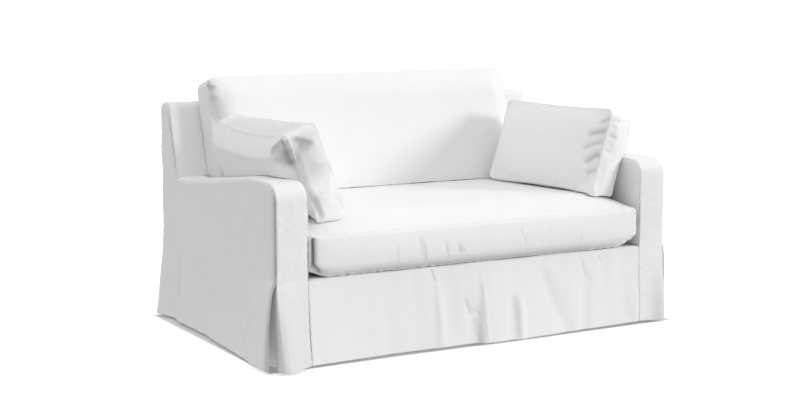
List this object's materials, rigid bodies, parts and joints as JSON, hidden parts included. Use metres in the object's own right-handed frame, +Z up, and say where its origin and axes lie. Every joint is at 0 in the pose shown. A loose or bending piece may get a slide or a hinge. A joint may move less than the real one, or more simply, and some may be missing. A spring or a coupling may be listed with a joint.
{
  "type": "fitted sofa slipcover with covered cushions and pillows",
  "caption": "Skirted slipcover for a two-seat sofa: hollow panels with corner kick pleats, and boxed seat cushion, back cushion and arm pillows covered to match.",
  "frame": {"origin": "middle of the deck's underside, where the sofa's seat platform holds the cover, 0.3005 m above the floor", "axes": "+X to the sofa's right as seen from the front, +Y towards its back, +Z up"},
  "size_m": [1.7279, 1.171, 0.9423],
  "materials": {
    "cover_cloth": "matt washed white cotton canvas",
    "cushion_cloth": "matt washed white cotton canvas, filled",
    "pillow_cloth": "matt washed white cotton canvas, softly filled"
  },
  "bodies": {
    "root": {"deck": "cover_cloth", "front_panel": "cover_cloth", "inside_back": "cover_cloth", "outside_back": "cover_cloth", "arm_band_left": "cover_cloth", "arm_band_right": "cover_cloth", "side_panel_left": "cover_cloth", "side_panel_right": "cover_cloth", "inner_arm_left": "cover_cloth", "inner_arm_right": "cover_cloth", "underlay_front_left": "cover_cloth", "underlay_front_right": "cover_cloth", "underlay_back_left": "cover_cloth", "underlay_back_right": "cover_cloth", "seat_cushion": "cushion_cloth", "back_cushion": "cushion_cloth", "pillow_left": "pillow_cloth", "pillow_right": "pillow_cloth"}
  },
  "joints": []
}
